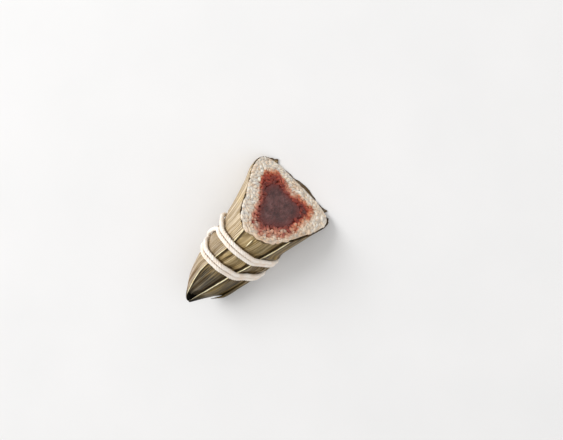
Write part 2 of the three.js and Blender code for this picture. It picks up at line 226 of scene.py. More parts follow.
def lumps(points, size, seed):
    """Smooth noise from -1 to 1 at each point, with lumps of that size (one number or three)."""
    cells = NOISE_CELLS
    table = np.random.default_rng(seed).uniform(-1, 1, (cells, cells, cells))
    at = points / np.asarray(size)
    cell = np.floor(at).astype(int)
    part = at - cell
    part = part * part * (3 - 2 * part)
    total = 0
    for corner in np.ndindex(2, 2, 2):
        share = np.prod(np.where(corner, part, 1 - part), axis=-1)
        x, y, z = np.moveaxis((cell + corner) % cells, -1, 0)
        total = total + share * table[x, y, z]
    return total


# ---- The dumpling's surface


def furrow(q, angle):
    """How deep the string's furrow is."""
    under = smooth(-np.sin(angle), 0.35, 0.9)
    deep = lerp(FURROW_TOP, FURROW_UNDER, under)
    soft = FURROW_SOFT * smooth(np.sin(angle), -0.6, -0.1)
    flat, edge = FURROW_FLAT - FURROW_NARROWER * soft, FURROW_EDGE + soft
    near = [1 - smooth(np.abs(q - middle), flat, edge) for middle in (UPPER_Q, LOWER_Q)]
    return deep * np.maximum(*near)


def pleat(q, angle):
    """Low waves along the leaves, which the flat underside has not."""
    wave = np.cos(PLEAT_AROUND * angle + PLEAT_ALONG * q)
    return PLEAT_DEPTH * smooth(np.sin(angle), -0.5, 0.1) * wave


def surface(q, angle, depth):
    """Points of the surface at that depth, in millimetres in the part's frame."""
    q, angle, depth = np.broadcast_arrays(q, angle, depth)
    half_width, top, bottom, ridge, keel, square, taper = (
        along(STATION_Q, values, q) for values in STATIONS.values()
    )
    sunk = depth + furrow(q, angle) + pleat(q, angle)
    across = power(np.cos(angle), 2 / square)
    up = power(np.sin(angle), 2 / square)
    high = np.maximum((top - bottom) / 2 - sunk, THINNEST)
    half = np.maximum(half_width - sunk, THINNEST)
    y = (
        half * across * (1 - taper * up)
        + ridge * ((1 + up) / 2) ** 1.5
        + keel * ((1 - up) / 2) ** 1.5
    )
    z = np.maximum((top + bottom) / 2 + high * up, sunk)
    swept = np.maximum(np.cos(angle - SWEEP_ANGLE), 0) ** 2
    x = q + along(SWEEP_Q, SWEEP_REACH, q) * swept - ORIGIN_Q
    return vectors(x, y, z)


def past_cut(points):
    """How far beyond the cut the points are, along x."""
    return points[..., 0] + ORIGIN_Q - CUT_BOTTOM + CUT_LEAN * points[..., 2]


def angle_on_top(q, y, depth):
    """The angle at which the surface has that y, on top."""
    left = lambda angle: surface(q, angle, depth)[..., 1] > y
    return bisected(0.02, np.pi - 0.02, SEAM_STEPS, left)


def right_leaf_depth(q):
    """The right leaf is level with the left one at the point, and one layer under it further on."""
    return LAYER * smooth(q, 1.5, 8)


EDGE_Q = np.linspace(0, 96, 193)
LEFT_EDGE = angle_on_top(EDGE_Q, along(SEAM_Q, SEAM_LEFT, EDGE_Q), 0)
RIGHT_EDGE = angle_on_top(EDGE_Q, along(SEAM_Q, SEAM_RIGHT, EDGE_Q), right_leaf_depth(EDGE_Q))


def left_edges(q):
    """The angles between which the left leaf lies."""
    under = -90 - LEFT_LAP * smooth(q, *OVERLAP_Q)
    return np.radians(under), np.interp(q, EDGE_Q, LEFT_EDGE)


def right_edges(q):
    over = smooth(q, *OVERLAP_Q)
    under = 270 - lerp(UNDER_GAP, 0, over) + RIGHT_LAP * over
    return np.interp(q, EDGE_Q, RIGHT_EDGE), np.radians(under)


def packed(angle):
    """How much deeper or less deep the number of layers over it sets the inner leaf."""
    turned_to = np.degrees(angle) % 360
    right = smooth(turned_to, 116, 138) * (1 - smooth(turned_to, 246, 268))
    left = 1 - smooth(np.minimum(turned_to, 360 - turned_to), 40, 66)
    return PACKING * (right - left)


def inner_depth(q, angle):
    return 2 * LAYER + packed(angle)


def rice_depth(q, angle):
    return 3 * LAYER + packed(angle)


def round_section(angle):
    """A point of a round section at each angle, for noise that closes on itself."""
    return vectors(ROUND_R * np.cos(angle), ROUND_R * np.sin(angle), 0)


def lip(angle):
    """How far the rice spreads out over the inner leaves' ends, at the cut."""
    over = np.interp(np.degrees(angle) % 360, LIP_ANGLE, LIP_OVER)
    loose = smooth(np.sin(angle), 0.7, 0.9)
    return over + loose * LIP_UNEVEN * lumps(round_section(angle), LIP_LUMP, 71)


def lip_depth(q, angle):
    return rice_depth(q, angle) - lip(angle)


# ---- Meshes

SHARP_FROM = np.radians(48)  # between two faces


def add_piece(name, node, points, faces, material, attributes=()):
    """A mesh object, from points in millimetres, that rides on the part and replaces a node."""
    mesh = bpy.data.meshes.new(name)
    mesh.from_pydata((points * MM).tolist(), [], [list(map(int, f)) for f in faces])
    for label, values in dict(attributes).items():
        kind = "FLOAT" if np.ndim(values) == 1 else "FLOAT_VECTOR"
        field = "value" if kind == "FLOAT" else "vector"
        mesh.attributes.new(label, kind, "POINT").data.foreach_set(field, np.ravel(values))
    work = bmesh.new()
    work.from_mesh(mesh)
    bmesh.ops.recalc_face_normals(work, faces=work.faces)
    work.to_mesh(mesh)
    work.free()
    mesh.shade_smooth()
    mesh.set_sharp_from_angle(angle=SHARP_FROM)
    mesh.materials.append(material)
    piece = add_object(name, mesh)
    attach(piece, "root")
    if node:
        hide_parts(node)


def joined(*grids):
    """All the points of the grids, as one list."""
    return np.concatenate([np.reshape(grid, (-1, 3)) for grid in grids])


def grid_faces(rows, columns, wrap):
    """Quads over a grid of points. wrap joins its last column to its first."""
    across = columns if wrap else columns - 1
    i, j = np.meshgrid(np.arange(rows - 1), np.arange(across), indexing="ij")
    row, next_row, next_j = i * columns, (i + 1) * columns, (j + 1) % columns
    quads = [row + j, row + next_j, next_row + next_j, next_row + j]
    return np.stack(quads, -1).reshape(-1, 4)


def sheet_faces(rows, columns, wrap):
    """The faces of a closed sheet: an outer grid, an inner grid, and strips along their borders."""
    count = rows * columns
    outer = grid_faces(rows, columns, wrap)
    inner = outer[:, ::-1] + count
    last = (rows - 1) * columns
    border = [(k, k + 1) for k in range(columns - 1)]
    border += [(last + k + 1, last + k) for k in range(columns - 1)]
    if wrap:
        border += [(columns - 1, 0), (last, last + columns - 1)]
    else:
        border += [((k + 1) * columns, k * columns) for k in range(rows - 1)]
        border += [((k + 1) * columns - 1, (k + 2) * columns - 1) for k in range(rows - 1)]
    strips = [(b, a, a + count, b + count) for a, b in border]
    return [*outer, *inner, *strips]


def body_faces(rings, sides):
    """The faces of a closed body: rings of points, then a point for each of its two ends."""
    faces = [list(f) for f in grid_faces(rings, sides, True)]
    first_end, last_end, last_ring = rings * sides, rings * sides + 1, (rings - 1) * sides
    for k in range(sides):
        following = (k + 1) % sides
        faces.append([first_end, k, following])
        faces.append([last_end, last_ring + following, last_ring + k])
    return faces


def tube(path, radii, sides, away=(0.31, 0.17, 0.93)):
    """A closed tube of those radii along a path, which nowhere runs along away."""
    tangent = unit(np.gradient(path, axis=0))
    side = unit(np.cross(tangent, away))
    other = np.cross(tangent, side)
    around = angles_round(sides)[None, :, None]
    ring = np.cos(around) * side[:, None] + np.sin(around) * other[:, None]
    points = path[:, None] + ring * np.broadcast_to(radii, len(path))[:, None, None]
    faces = [*grid_faces(len(path), sides, True)]
    faces.append(list(range(sides))[::-1])
    faces.append([(len(path) - 1) * sides + k for k in range(sides)])
    return points.reshape(-1, 3), faces


# ---- Materials

FLAT = 1e6  # a noise of this size stays the same in that direction


def colour(red, green, blue):
    """A linear colour from its 0 to 255 values."""
    c = np.array([red, green, blue]) / 255
    linear = np.where(c <= 0.04045, c / 12.92, ((c + 0.055) / 1.055) ** 2.4)
    return (*linear, 1)


def between(first, second, share):
    return tuple(np.array(first) * (1 - share) + np.array(second) * share)


class Shader:
    """A material and short ways to add its nodes."""

    def __init__(self, name, **settings):
        self.material = bpy.data.materials.new(name)
        self.material.use_nodes = True
        self.tree = self.material.node_tree
        self.surface = self.tree.nodes["Principled BSDF"]
        for socket, value in settings.items():
            self.surface.inputs[socket.replace("_", " ")].default_value = value

    def add(self, kind, inputs, **settings):
        node = self.tree.nodes.new("ShaderNode" + kind)
        for key, value in settings.items():
            setattr(node, key, value)
        for key, value in inputs.items():
            self.put(node.inputs[key], value)
        return node

    def put(self, socket, value):
        if isinstance(value, bpy.types.NodeSocket):
            self.tree.links.new(value, socket)
        else:
            socket.default_value = value

    def attribute(self, label, output="Fac"):
        return self.add("Attribute", {}, attribute_name=label).outputs[output]

    def stretched(self, vector, scale):
        """vector divided by a size, one number or three."""
        inverse = (1 / np.broadcast_to(scale, 3)).tolist()
        return self.add("VectorMath", {0: vector, 1: inverse}, operation="MULTIPLY").outputs[0]

    def millimetres(self):
        """Where a point is on the object, in millimetres."""
        return self.stretched(self.add("TexCoord", {}).outputs["Object"], MM)

    def noise(self, vector, size, detail=3.0, rough=0.5, offset=0.0):
        """Noise from 0 to 1. offset moves it, so that no two of them agree."""
        inputs = {0: self.stretched(vector, size), 1: (offset,) * 3}
        moved = self.add("VectorMath", inputs, operation="ADD").outputs[0]
        inputs = {"Vector": moved, "Scale": 1.0, "Detail": detail, "Roughness": rough}
        return self.add("TexNoise", inputs).outputs["Fac"]

    def math(self, operation, *values):
        return self.add("Math", dict(enumerate(values)), operation=operation).outputs[0]

    def blend(self, first, share, second, other_share):
        """The sum of both, each times its share."""
        parts = self.math("MULTIPLY", first, share), self.math("MULTIPLY", second, other_share)
        return self.math("ADD", *parts)

    def round_zero(self, noise, reach):
        """The noise moved to lie round zero, and multiplied."""
        return self.math("MULTIPLY", self.math("SUBTRACT", noise, 0.5), reach)

    def fade(self, value, low, high, to_low=0.0, to_high=1.0):
        inputs = {"Value": value, "From Min": low, "From Max": high, "To Min": to_low, "To Max": to_high}
        return self.add("MapRange", inputs, interpolation_type="SMOOTHSTEP").outputs["Result"]

    def mix(self, share, a, b):
        inputs = {0: share, 6: a, 7: b}
        return self.add("Mix", inputs, data_type="RGBA", blend_type="MIX").outputs[2]

    def marked(self, base, marks):
        """base under marks: a value, where it is clear, where it is strongest, how strong, a colour."""
        for value, low, high, most, tone in marks:
            base = self.mix(self.fade(value, low, high, 0, most), base, tone)
        return base

    def ramp(self, value, stops):
        node = self.add("ValToRGB", {"Fac": value})
        elements = node.color_ramp.elements
        while len(elements) < len(stops):
            elements.new(1)
        for element, (position, tone) in zip(elements, stops):
            element.position = position
            element.color = tone
        return node.outputs["Color"]

    def bump(self, height, distance):
        inputs = {"Height": height, "Distance": distance * MM, "Strength": 1.0}
        return self.add("Bump", inputs).outputs["Normal"]

    def finish(self, base, roughness=None, normal=None):
        for socket, value in {"Base Color": base, "Roughness": roughness, "Normal": normal}.items():
            if value is not None:
                self.put(self.surface.inputs[socket], value)
        return self.material


WHITE = (1, 1, 1, 1)
BLACK = colour(30, 25, 18)
# The colour of painted shade on the leaves, and of their darker cut edges.
SHADE_AND_CUT_EDGE = colour(58, 40, 18)
VEIN_PITCH = 1.5  # across a leaf, in millimetres
VEIN_DRIFT = 6.0  # radians by which the veins wander
POINT_UNEVEN = 50.0  # millimetres by which the dark point's end wanders along the streaks

# Each leaf's pale and deep streaks, its stain, the deep and pale streaks of its dark point, and how far
# from the point those reach. The left leaf's tones are partly its own and partly painted light of the lit
# side; the right-hand leaves' are partly painted shade.
LEAF_LOOKS = {
    "leaf_light": [(230, 209, 176), (146, 118, 74), (212, 182, 120), (124, 102, 78), (206, 186, 164), 26],
    "leaf_dark": [(146, 117, 52), (52, 38, 10), (104, 76, 42), (16, 12, 5), (150, 126, 68), 26],
    "leaf_inner": [(212, 182, 120), (100, 76, 36), (134, 118, 62), (10, 9, 6), (112, 102, 84), 30],
}


def leaf_material(name, *tones, point_end):
    """Boiled bamboo leaf, streaked along its veins, stained, with a darker point, and darkened where its
    shade attribute says: painted shade, and a darker cut edge.
    """
    pale, deep, stain, point_deep, point_pale = (colour(*tone) for tone in tones)
    s = Shader(name, Specular_IOR_Level=0.22)
    on_leaf = s.attribute("leaf", "Vector")
    across, from_point, _ = s.add("SeparateXYZ", {0: on_leaf}).outputs
    fine = s.noise(on_leaf, (1.1, 40, FLAT), detail=3, rough=0.75)
    broad = s.noise(on_leaf, (3.6, 40, FLAT), detail=3, offset=7)
    patches = s.noise(on_leaf, (6, 10, FLAT), detail=5, rough=0.66, offset=13)
    lines = s.noise(on_leaf, (1.3, 70, FLAT), detail=2, offset=31)
    drift = s.noise(on_leaf, (9, 60, FLAT), detail=2, offset=43)
    flecks = s.noise(on_leaf, (0.6, 2.2, FLAT), detail=2, offset=57)
    streaks = s.blend(fine, 0.8, broad, 0.2)
    vein = s.math("SINE", s.blend(across, 2 * np.pi / VEIN_PITCH, drift, VEIN_DRIFT))
    dark_until = s.math("ADD", from_point, s.round_zero(streaks, POINT_UNEVEN))
    dark_point = s.ramp(s.blend(fine, 0.6, lines, 0.4), [(0.45, point_deep), (0.56, point_pale)])
    marks = [
        (patches, 0.5, 0.62, 0.75, stain),
        (lines, 0.55, 0.6, 0.6, between(deep, BLACK, 0.4)),
        (lines, 0.42, 0.37, 0.5, between(pale, WHITE, 0.35)),
        (vein, -0.1, 1.0, 0.6, between(deep, BLACK, 0.25)),
        (vein, -0.5, -1.0, 0.4, between(pale, WHITE, 0.25)),
        (dark_until, point_end, point_end * 0.7, 1, dark_point),
        (broad, 0.51, 0.64, 0.6, between(deep, BLACK, 0.35)),
        (broad, 0.47, 0.34, 0.5, between(pale, WHITE, 0.1)),
        (flecks, 0.52, 0.7, 0.4, between(deep, pale, 0.2)),
        (from_point, 9, 2, 1, BLACK),
    ]
    base = s.ramp(streaks, [(0.41, deep), (0.5, between(deep, pale, 0.6)), (0.58, pale)])
    # Painted shade and the darker cut edge, as much as the shade attribute says.
    base = s.mix(s.attribute("shade"), s.marked(base, marks), SHADE_AND_CUT_EDGE)
    relief = s.blend(vein, -0.12, fine, 1.0)
    return s.finish(base, s.fade(broad, 0.3, 0.7, 0.34, 0.55), s.bump(relief, 0.3))


def rib_and_highlight_material():
    s = Shader("leaf_rib_and_highlight", Roughness=0.45)
    streak = s.noise(s.millimetres(), (6, 0.7, 0.7), detail=3)
    # The rib's own cream, brightened towards white as a painted highlight.
    base = s.ramp(streak, [(0.3, colour(232, 204, 146)), (0.5, colour(255, 244, 204))])
    return s.finish(base, None, s.bump(streak, 0.08))


RICE_TONES = [(0, colour(238, 218, 197)), (0.5, colour(247, 231, 212)), (1, colour(252, 243, 229))]
RICE_TAN = colour(222, 186, 154)

# The stain's colours as it grows stronger, where it is pink and where it is orange.
STAIN_AT = [0.1, 0.34, 0.56, 0.78, 0.95]
PINK = [(228, 200, 180), (202, 148, 126), (164, 92, 78), (118, 56, 46), (92, 62, 60)]
ORANGE = [(232, 196, 168), (208, 132, 96), (170, 66, 42), (120, 42, 30), (88, 52, 48)]


def rice_material():
    """Moist sticky rice, stained red by the paste."""
    under = {"Subsurface_Scale": 1.8 * MM, "Subsurface_Radius": (1.0, 0.85, 0.7)}
    s = Shader("rice", Roughness=0.45, Specular_IOR_Level=0.4, Subsurface_Weight=0.55, **under)
    place = s.millimetres()
    cloud = s.noise(place, 3.4, detail=4, rough=0.6)
    blush = s.noise(place, 5, detail=3, rough=0.6, offset=11)
    speck = s.noise(place, 0.7, detail=3, offset=5)
    patchy = s.fade(blush, 0.42, 0.7, -0.2, 0.35)
    tanned = s.math("ADD", s.math("MULTIPLY", s.attribute("tan"), 0.75), patchy)
    white = s.ramp(s.attribute("tone"), RICE_TONES)
    white = s.mix(s.math("MAXIMUM", tanned, 0.0), white, RICE_TAN)
    spread = s.math("ADD", s.attribute("stain"), s.round_zero(cloud, 0.8))
    ramps = [
        s.ramp(spread, [(at, colour(*tone)) for at, tone in zip(STAIN_AT, tones)])
        for tones in (PINK, ORANGE)
    ]
    tint = s.mix(s.attribute("warmth"), *ramps)
    base = s.mix(s.fade(spread, 0.0, 0.3), white, tint)
    return s.finish(base, s.fade(cloud, 0.3, 0.7, 0.36, 0.55), s.bump(speck, 0.06))


def paste_material():
    """Moist red bean paste, mottled and gritty, redder at its edge."""
    under = {"Subsurface_Weight": 0.08, "Subsurface_Scale": 1.0 * MM}
    s = Shader("bean_paste", Roughness=0.42, Specular_IOR_Level=0.45, **under)
    place = s.millimetres()
    cloud = s.noise(place, 5, detail=4)
    grit = s.noise(place, 0.6, detail=5, rough=0.7, offset=3)
    streaks = s.noise(place, (2.2, 1.2, 5), detail=4, rough=0.65, offset=17)
    tones = [(0.36, colour(64, 34, 34)), (0.5, colour(90, 54, 52)), (0.64, colour(122, 82, 80))]
    marks = [
        (grit, 0.53, 0.68, 0.55, colour(136, 94, 90)),
        (grit, 0.47, 0.34, 0.55, colour(58, 30, 30)),
        (s.attribute("edge"), 0.55, 1.0, 0.8, colour(110, 40, 34)),
    ]
    base = s.marked(s.ramp(s.blend(cloud, 0.5, streaks, 0.5), tones), marks)
    return s.finish(base, s.fade(grit, 0.3, 0.7, 0.3, 0.55), s.bump(grit, 0.35))


def string_material():
    sheen = {"Sheen_Weight": 0.3, "Sheen_Roughness": 0.5}
    s = Shader("cotton_string", Roughness=0.85, Specular_IOR_Level=0.3, **sheen)
    fibres = s.noise(s.attribute("ply", "Vector"), (1.6, 0.12, 1), detail=4, rough=0.6)
    soil = s.noise(s.millimetres(), 5, detail=3)
    marks = [
        (soil, 0.4, 0.7, 0.6, colour(244, 222, 200)),
        (fibres, 0.5, 0.8, 0.25, colour(222, 198, 176)),
    ]
    base = s.marked(colour(254, 246, 236), marks)
    return s.finish(base, None, s.bump(fibres, 0.12))


# ---- The leaves

LEAF_ROWS = 170
LEAF_ACROSS = 120  # a leaf's across-coordinate, in millimetres, over a whole turn
MM_PER_DEGREE = LEAF_ACROSS / 360
NOSE = 1.4  # length of the rounded end at the leaves' point
NOSE_LEAST = (0.15, 0.1)  # the share left of its first ring, outside and inside

# The veins' wrinkles, the folds and the gathers beside the string: how deep they are, the size of
# their lumps and their seed. In that noise a unit is WRINKLE_LONG millimetres along the leaf, and a
# section's radius is WRINKLE_ROUND.
WRINKLES = [(0.16, (1, 0.75, 0.75), 3), (0.3, (1.4, 1.9, 1.9), 4), (0.32, 0.5, 5)]
GATHER_REACH = 3.5  # from the furrow's edge
WRINKLE_LONG = 14
WRINKLE_ROUND = 4

TORN_SIZE = 4  # of the tears in a leaf's end
TORN_FINE = 0.7  # the strength of tears a third of that size
END_BETWEEN = (50.0, 97.0)  # no leaf ends nearer the point or further from it
NEAR_CUT_Q = 80.0  # where the angles for the tears are taken

# The shadow beside a rib is painted.
RIB_SHADE_OFF = 0.9  # from a rib's middle to the darkest line beside it
EDGE_DROP = 0.55  # how far the left leaf's edge dips on top, and its rib with it
EDGE_DROP_Q = (4, 12)

# A small curl of the right leaf beside the upper pair of turns: its q and its angle in degrees, how
# long it is, how wide in degrees, and how far it stands out.
CURL = (51.5, 182, 2.2, 15, 1.3)

# Creases on top, pressed in and darkened with painted shade, each between two places given as q and
# degrees, with its width.
CREASES = [
    ((34.5, 92), (41.5, 84), 1.0),
    ((36, 99), (42, 104), 0.8),
    ((53, 86), (62, 92), 0.8),
    ((52, 100), (60, 97), 0.7),
]
CREASE_DEPTH = 0.7
CREASE_SHADE = 0.5

FLAP_FROM, FLAP_TO = 188, 232  # degrees
FLAP_START, FLAP_END = 8.5, 41  # from the point; the first is its ragged end
FLAP_FLARE = 1.2  # how far it stands off the right leaf at its loose edge
FLAP_ROWS, FLAP_COLUMNS = 90, 60


def wrinkles(q, angle):
    """How far the leaves' wrinkles stand in: along the veins, and gathered by the string."""
    across, up = WRINKLE_ROUND * np.cos(angle), WRINKLE_ROUND * np.sin(angle)
    around = vectors(q / WRINKLE_LONG, across, up)
    veins, folds, gathers = (depth * lumps(around, size, seed) for depth, size, seed in WRINKLES)
    off = [np.abs(q - middle) - FURROW_FLAT for middle in (UPPER_Q, LOWER_Q)]
    near = np.exp(-((np.minimum(*np.abs(off)) / GATHER_REACH) ** 2))
    above = smooth(np.sin(angle), -0.75, -0.2)
    return (veins + folds + gathers * near) * above * smooth(q, 2, 14)


def end_of_leaf(angle_at, depth_at, beyond):
    """The q at which a leaf ends, that far beyond the cut, at each angle across it."""

    def short(q):
        angle = angle_at(q)
        return past_cut(surface(q, angle, depth_at(q, angle))) < beyond

    return bisected(*END_BETWEEN, END_STEPS, short)


def torn_end(angle, seed, reach, covered):
    """How far beyond the cut a leaf's torn end stands at each angle. reach is the tears'.

    covered is 1 at the angles where rice spreads over it, and it then lies further back.
    """
    line = round_section(angle)
    under = smooth(-np.sin(angle), 0.3, 0.9)
    torn = lumps(line, TORN_SIZE, seed) + TORN_FINE * lumps(line, TORN_SIZE / 3, seed + 1)
    loose = -RIM_BACK + reach * torn * (1 + 2 * under) + 0.4 * under
    return lerp(loose, -RIM_COVERED, covered(angle))


def leaf_grid(edges, depth_at, start, columns, tears, wrap=False):
    """q, angle, share across and distance to the leaf's end, in rows along it and columns across."""
    shares = np.linspace(0, 1, columns, endpoint=not wrap)

    def angle_at(q):
        first, last = edges(q)
        return first + (last - first) * shares

    beyond = torn_end(angle_at(np.full(columns, NEAR_CUT_Q)), *tears)
    end = end_of_leaf(angle_at, depth_at, beyond)
    q = start + (end - start) * np.linspace(0, 1, LEAF_ROWS)[:, None]
    return q, np.broadcast_to(angle_at(q), q.shape), shares, end - q


def nosed(points, q, least):
    """Rings drawn in towards their middles over the first millimetres, to close a leaf's point."""
    t = np.clip((q - q.min()) / NOSE, 0, 1)
    share = np.maximum(np.sqrt(t * (2 - t)), least)[..., None]
    middle = points.mean(axis=1, keepdims=True)
    return middle + (points - middle) * share


def make_leaf(
    name, node, material, grid, depth, shade, wrap=False, pointed=True
):
    """A leaf as a thin closed sheet, from its q and angle, its depth and its shade at each point."""
    q, angle = grid[:2]
    depth = depth + wrinkles(q, angle)
    sheets = [surface(q, angle, depth), surface(q, angle, depth + LEAF)]
    if pointed:
        sheets = [nosed(sheet, q, least) for sheet, least in zip(sheets, NOSE_LEAST)]
    on_leaf = joined(vectors(angle / (2 * np.pi) * LEAF_ACROSS, q, 0))
    points = joined(*sheets)
    # Every leaf also gets the painted shadow beside the string.
    shade = np.maximum(np.broadcast_to(shade, q.shape), shadow_beside_string(q)).ravel()
    attributes = {"leaf": np.tile(on_leaf, (2, 1)), "shade": np.tile(shade, 2)}
    faces = sheet_faces(*q.shape, wrap)
    add_piece(name, node, points, faces, material, attributes)


def rim_shade(angle, to_end):
    """Darkness along a leaf's cut edge, wider underneath: partly the cut edge's own darker colour, partly
    painted shade on the rim.
    """
    under = smooth(-np.sin(angle), 0.2, 0.8)
    near_end = 1 - smooth(to_end, 0, lerp(0.6, 2.2, under))
    return (0.7 + 0.25 * under) * near_end


def shadow_beside_string(q):
    """Painted shadow in the creases beside the string."""
    off = np.minimum(np.abs(q - UPPER_Q), np.abs(q - LOWER_Q)) - (ROW_PITCH / 2 + STRING_R)
    return 0.75 * np.exp(-((off - 0.1) / 0.55) ** 2)


def shadow_beside_rib(off):
    """Painted shadow beside a rib, off it by that angle."""
    return 0.95 * np.exp(-((off * ROUND_R - RIB_SHADE_OFF) / RIB_SHADE_OFF) ** 2)


def make_left_leaf(material):
    tears = (21, 0.5, lambda angle: 0.4 * smooth(angle, np.radians(40), np.radians(52)))
    grid = leaf_grid(left_edges, lambda q, angle: 0, 0, 170, tears)
    q, angle, shares, to_end = grid
    drop = EDGE_DROP * smooth(shares, 0.93, 1.0) * smooth(q, *EDGE_DROP_Q)
    rim = rim_shade(angle, to_end) * lerp(1, 0.3, smooth(np.sin(angle), -0.5, -0.1))
    # Darker towards the leaf's margin underneath, and painted shade between the two pairs of turns.
    underneath = 0.75 * smooth(-angle, np.radians(62), np.radians(84))
    past_lower, past_upper = smooth(q, LOWER_Q, LOWER_Q + 3), smooth(q, UPPER_Q - 3, UPPER_Q)
    shade_between_strings = 0.28 * past_lower * (1 - past_upper)
    shade = np.maximum.reduce([rim, underneath, shade_between_strings])
    make_leaf("left_leaf", "leaf_left", material, grid, drop, shade)


def make_right_leaf(material):
    tears = (31, 0.5, lambda angle: smooth(angle, np.radians(228), np.radians(246)))
    grid = leaf_grid(right_edges, lambda q, angle: right_leaf_depth(q), 0, 130, tears)
    q, angle, _, to_end = grid
    curl_q, curl_angle, length, width, out = CURL
    off_q, off_angle = (q - curl_q) / length, (np.degrees(angle) - curl_angle) / width
    depth = right_leaf_depth(q) - out * np.exp(-(off_q**2) - off_angle**2)
    # Painted shade towards the foot of the right side, and painted shadow beside its rib.
    foot = 0.5 * smooth(angle, np.radians(196), np.radians(235))
    rib_shadow = shadow_beside_rib(angle - right_edges(q)[0])
    shade = np.maximum.reduce([rim_shade(angle, to_end), foot, rib_shadow])
    make_leaf("right_leaf", "leaf_right", material, grid, depth, shade)


def make_fold_leaf(material):
    """The layer between the inner and the right leaf."""
    depth = 2 * LAYER

    def edges(q):
        return right_edges(q)[0] + np.radians(FOLD_IN), np.radians(FOLD_TO)

    tears = (41, 0.7, lambda angle: 1)
    grid = leaf_grid(edges, lambda q, angle: depth, FOLD_START, 90, tears)
    shade = rim_shade(grid[1], grid[3])
    make_leaf("fold_leaf", "leaf_fold", material, grid, depth, shade, pointed=False)


def crease(q, angle, first, second, width):
    """1 along the crease between two places, given as q and degrees, falling to 0 beside it."""
    (q0, a0), (q1, a1) = first, second
    dq, da = q1 - q0, (a1 - a0) * MM_PER_DEGREE
    at_q, at_a = q - q0, (np.degrees(angle) - a0) * MM_PER_DEGREE
    t = np.clip((at_q * dq + at_a * da) / (dq**2 + da**2), 0, 1)
    off = ((at_q - t * dq) ** 2 + (at_a - t * da) ** 2) / width**2
    return np.exp(-off) * np.sin(np.pi * lerp(0.15, 0.85, t))


def make_inner_leaf(material):
    tears = (51, 0.9, lambda angle: 1 - 0.6 * smooth(np.sin(angle), 0.55, 0.75))
    all_round = lambda q: (0, 2 * np.pi)
    grid = leaf_grid(all_round, inner_depth, INNER_START, 240, tears, wrap=True)
    q, angle, _, to_end = grid
    creased = sum(crease(q, angle, *line) for line in CREASES)
    on_top = smooth(np.sin(angle), 0.6, 0.8)
    # Darkness on the inner leaf: its cut edge, a painted shadow on top just behind the rice that spreads
    # over its end, painted shade in the creases and beside both ribs, and darker past the upper pair of
    # turns.
    shades = [
        rim_shade(angle, to_end),
        0.8 * on_top * (1 - smooth(to_end, 0.6, 1.8)),
        np.clip(CREASE_SHADE * creased, 0, CREASE_SHADE),
        shadow_beside_rib(angle - left_edges(q)[1]),
        shadow_beside_rib(right_edges(q)[0] - angle),
        0.18 * smooth(q, UPPER_Q, UPPER_Q + 4),
    ]
    depth = inner_depth(q, angle) + CREASE_DEPTH * creased
    shade = np.maximum.reduce(shades)
    make_leaf("inner_leaf", "leaf_inner", material, grid, depth, shade, wrap=True)


def make_flap(material):
    """The ragged leaf end turned back along the foot of the right-hand side."""
    angle = np.radians(np.linspace(FLAP_FROM, FLAP_TO, FLAP_COLUMNS))
    line = vectors(*[np.linspace(0, 30, FLAP_COLUMNS)] * 3)
    start = FLAP_START + 2.6 * lumps(line, 3.1, 61) + 1.2 * lumps(line, 1.1, 62)
    q = start + (FLAP_END - start) * np.linspace(0, 1, FLAP_ROWS)[:, None]
    angle = np.broadcast_to(angle, q.shape)
    waves = lumps(vectors(q, 20 * angle, 0), (9, 2.2, 1), 63)
    depth = FLAP_FLARE * (smooth(q, 8, 20) - 1) + 0.5 * waves
    # Painted shade towards its foot, and a painted shadow along its ragged end.
    foot = 0.75 * smooth(angle, np.radians(205), np.radians(FLAP_TO))
    shade = np.maximum(foot, 0.8 * (1 - smooth(q - start, 0, 2.5)))
    make_leaf("flap_leaf", "leaf_flap", material, (q, angle), depth, shade, pointed=False)


def make_leaves():
    light, dark, inner = (
        leaf_material(name, *tones, point_end=end) for name, (*tones, end) in LEAF_LOOKS.items()
    )
    # The left leaf's material is paler with painted light, the right-hand leaves' darker with painted
    # shade.
    make_left_leaf(light)
    make_right_leaf(dark)
    make_fold_leaf(dark)
    make_inner_leaf(inner)
    make_flap(dark)


# ---- Rice

CUT_NORMAL = np.array([1, 0, CUT_LEAN]) / np.hypot(1, CUT_LEAN)
CUT_TILT = np.pi / 2 - np.arctan(CUT_LEAN)  # of the cut's plane from level

# How far the stain reaches from the paste, deep and as a faint blush. Each reach is a number to
# which bulges are added, each (by, middle, width), the last two in degrees.
SOAKED_REACH = (1.6, [(6.8, -32, 22), (3.6, 218, 16)])
BLUSH_REACH = (4.4, [(3.4, 112, 45), (1.6, 170, 40), (5.4, -32, 28), (3.8, 218, 22), (0.9, 270, 36)])
BLUSH = 0.4
BLUSH_SOFT = 4.0

GRAIN_LENGTH = 5.4
GRAIN_WIDTH = 2.3
GRAIN_PITCH = 1.65  # from one grain's middle to the next one's, at least
GRAIN_FROM_RIM = 0.6
GRAIN_OVER_PASTE = 0.4  # how far its middle may lie over the paste
GRAIN_TRIES = 14000
GRAIN_SEED = 12
GRAIN_FIELD = ((-27, 30), (0, 44))  # the y and z between which places are tried
LENGTH_SPREAD = (0.8, 1.1)  # shares
WIDTH_SPREAD = (0.85, 1.12)
FLATNESS = (0.8, 1)
GRAIN_BEND = 0.5
LYING_SHARE = 0.85  # of the grains that lie along the cut, tilted this far at most
LYING_TILT = 0.35
STANDING_TILT = (0.7, 1.4)
TURN_SPREAD = (0.25, 1.2)  # how freely the grains are turned, at the rim and further in
FREE_FROM = (0.8, 3.5)
GRAIN_PROUD = 0.5  # at most, before the knife
GRAIN_CRUSH = 0.6  # how much of its height above the cut the knife takes from a white grain
STAINED_CRUSH = 0.9  # and from a stained one
GRAIN_STAIN_SPREAD = 0.4
GRAIN_STAIN_MOST = 0.78
GRAIN_RINGS = 7
GRAIN_SIDES = 10
RIM_SIDES = 180

